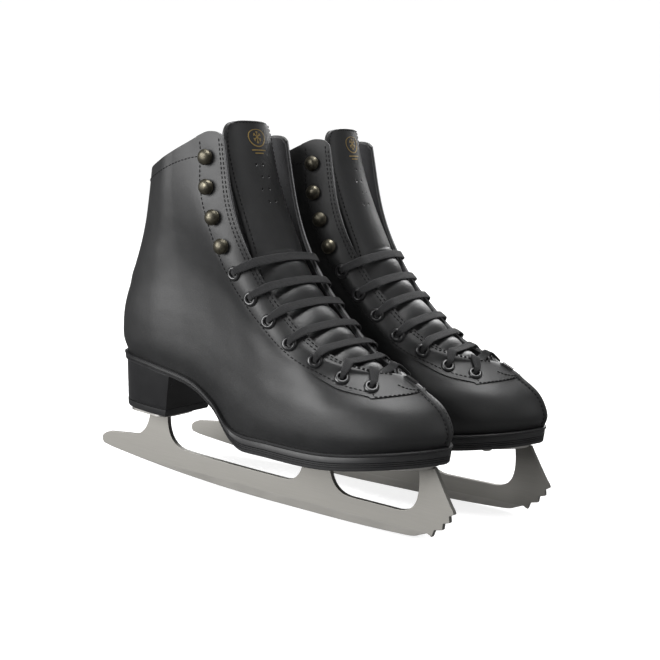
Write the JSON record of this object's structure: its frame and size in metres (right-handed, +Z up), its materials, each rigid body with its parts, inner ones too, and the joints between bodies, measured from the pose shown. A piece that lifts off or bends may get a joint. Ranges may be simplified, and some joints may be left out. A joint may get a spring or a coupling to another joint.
{
  "type": "pair of figure skates",
  "caption": "Pair of lace-up figure skates: padded boots with hooks and eyelets, stacked heels, and screwed-on blades with toe picks.",
  "frame": {"origin": "on the ice, under the middle of the box round the pair", "axes": "+X towards the toes of the right skate, +Y from the right skate to the left skate, +Z up"},
  "size_m": [0.3094, 0.2026, 0.256],
  "materials": {
    "black_leather": "smooth corrected grain, soft satin",
    "lining_fabric": "matt woven cloth",
    "lace_fabric": "matt braid",
    "stiffener_board": "matt pressed board",
    "collar_foam": "soft open foam",
    "eyelet_enamel": "glossy enamel",
    "hook_brass": "antiqued, satin",
    "sole_rubber": "smooth moulded",
    "heel_plastic": "semi-gloss moulded",
    "plated_steel": "satin nickel plate",
    "blade_steel": "satin nickel plate, fine grinding lines"
  },
  "bodies": {
    "right_skate": {"right_blade": "blade_steel", "right_collar_padding": "collar_foam", "right_eyelet_stay_lateral": "black_leather", "right_eyelet_stay_medial": "black_leather", "right_eyelets_lateral": "eyelet_enamel", "right_eyelets_medial": "eyelet_enamel", "right_footbed": "lining_fabric", "right_heel_block": "heel_plastic", "right_heel_counter": "stiffener_board", "right_heel_plate": "plated_steel", "right_heel_top_piece": "sole_rubber", "right_hooks_lateral": "hook_brass", "right_hooks_medial": "hook_brass", "right_insole_board": "stiffener_board", "right_lace": "lace_fabric", "right_lining_lateral": "lining_fabric", "right_lining_medial": "lining_fabric", "right_midsole": "sole_rubber", "right_outsole": "sole_rubber", "right_quarter_lateral": "black_leather", "right_quarter_medial": "black_leather", "right_screw_1": "plated_steel", "right_screw_2": "plated_steel", "right_screw_3": "plated_steel", "right_screw_4": "plated_steel", "right_shank": "plated_steel", "right_sole_plate": "plated_steel", "right_toe_puff": "stiffener_board", "right_tongue_lower": "black_leather"},
    "left_skate": {"left_blade": "blade_steel", "left_collar_padding": "collar_foam", "left_eyelet_stay_lateral": "black_leather", "left_eyelet_stay_medial": "black_leather", "left_eyelets_lateral": "eyelet_enamel", "left_eyelets_medial": "eyelet_enamel", "left_footbed": "lining_fabric", "left_heel_block": "heel_plastic", "left_heel_counter": "stiffener_board", "left_heel_plate": "plated_steel", "left_heel_top_piece": "sole_rubber", "left_hooks_lateral": "hook_brass", "left_hooks_medial": "hook_brass", "left_insole_board": "stiffener_board", "left_lace": "lace_fabric", "left_lining_lateral": "lining_fabric", "left_lining_medial": "lining_fabric", "left_midsole": "sole_rubber", "left_outsole": "sole_rubber", "left_quarter_lateral": "black_leather", "left_quarter_medial": "black_leather", "left_screw_1": "plated_steel", "left_screw_2": "plated_steel", "left_screw_3": "plated_steel", "left_screw_4": "plated_steel", "left_shank": "plated_steel", "left_sole_plate": "plated_steel", "left_toe_puff": "stiffener_board", "left_tongue_lower": "black_leather"},
    "right_tongue": {"right_tongue_upper": "black_leather"},
    "left_tongue": {"left_tongue_upper": "black_leather"}
  },
  "joints": [
    {"name": "left_skate_lift", "type": "slide", "parent": "right_skate", "child": "left_skate", "axis": [0, 0, 1], "range_m": [0, 0.3]},
    {"name": "right_tongue_fold", "type": "hinge", "parent": "right_skate", "child": "right_tongue", "pos_m": [-0.00962, -0.05212, 0.173], "axis": [0, 1, 0], "range_deg": [-12, 40], "stiffness_Nm_per_rad": 0.6},
    {"name": "left_tongue_fold", "type": "hinge", "parent": "left_skate", "child": "left_tongue", "pos_m": [0.00939, 0.04777, 0.173], "axis": [-0.1115, 0.9938, 0], "range_deg": [-12, 40], "stiffness_Nm_per_rad": 0.6}
  ]
}
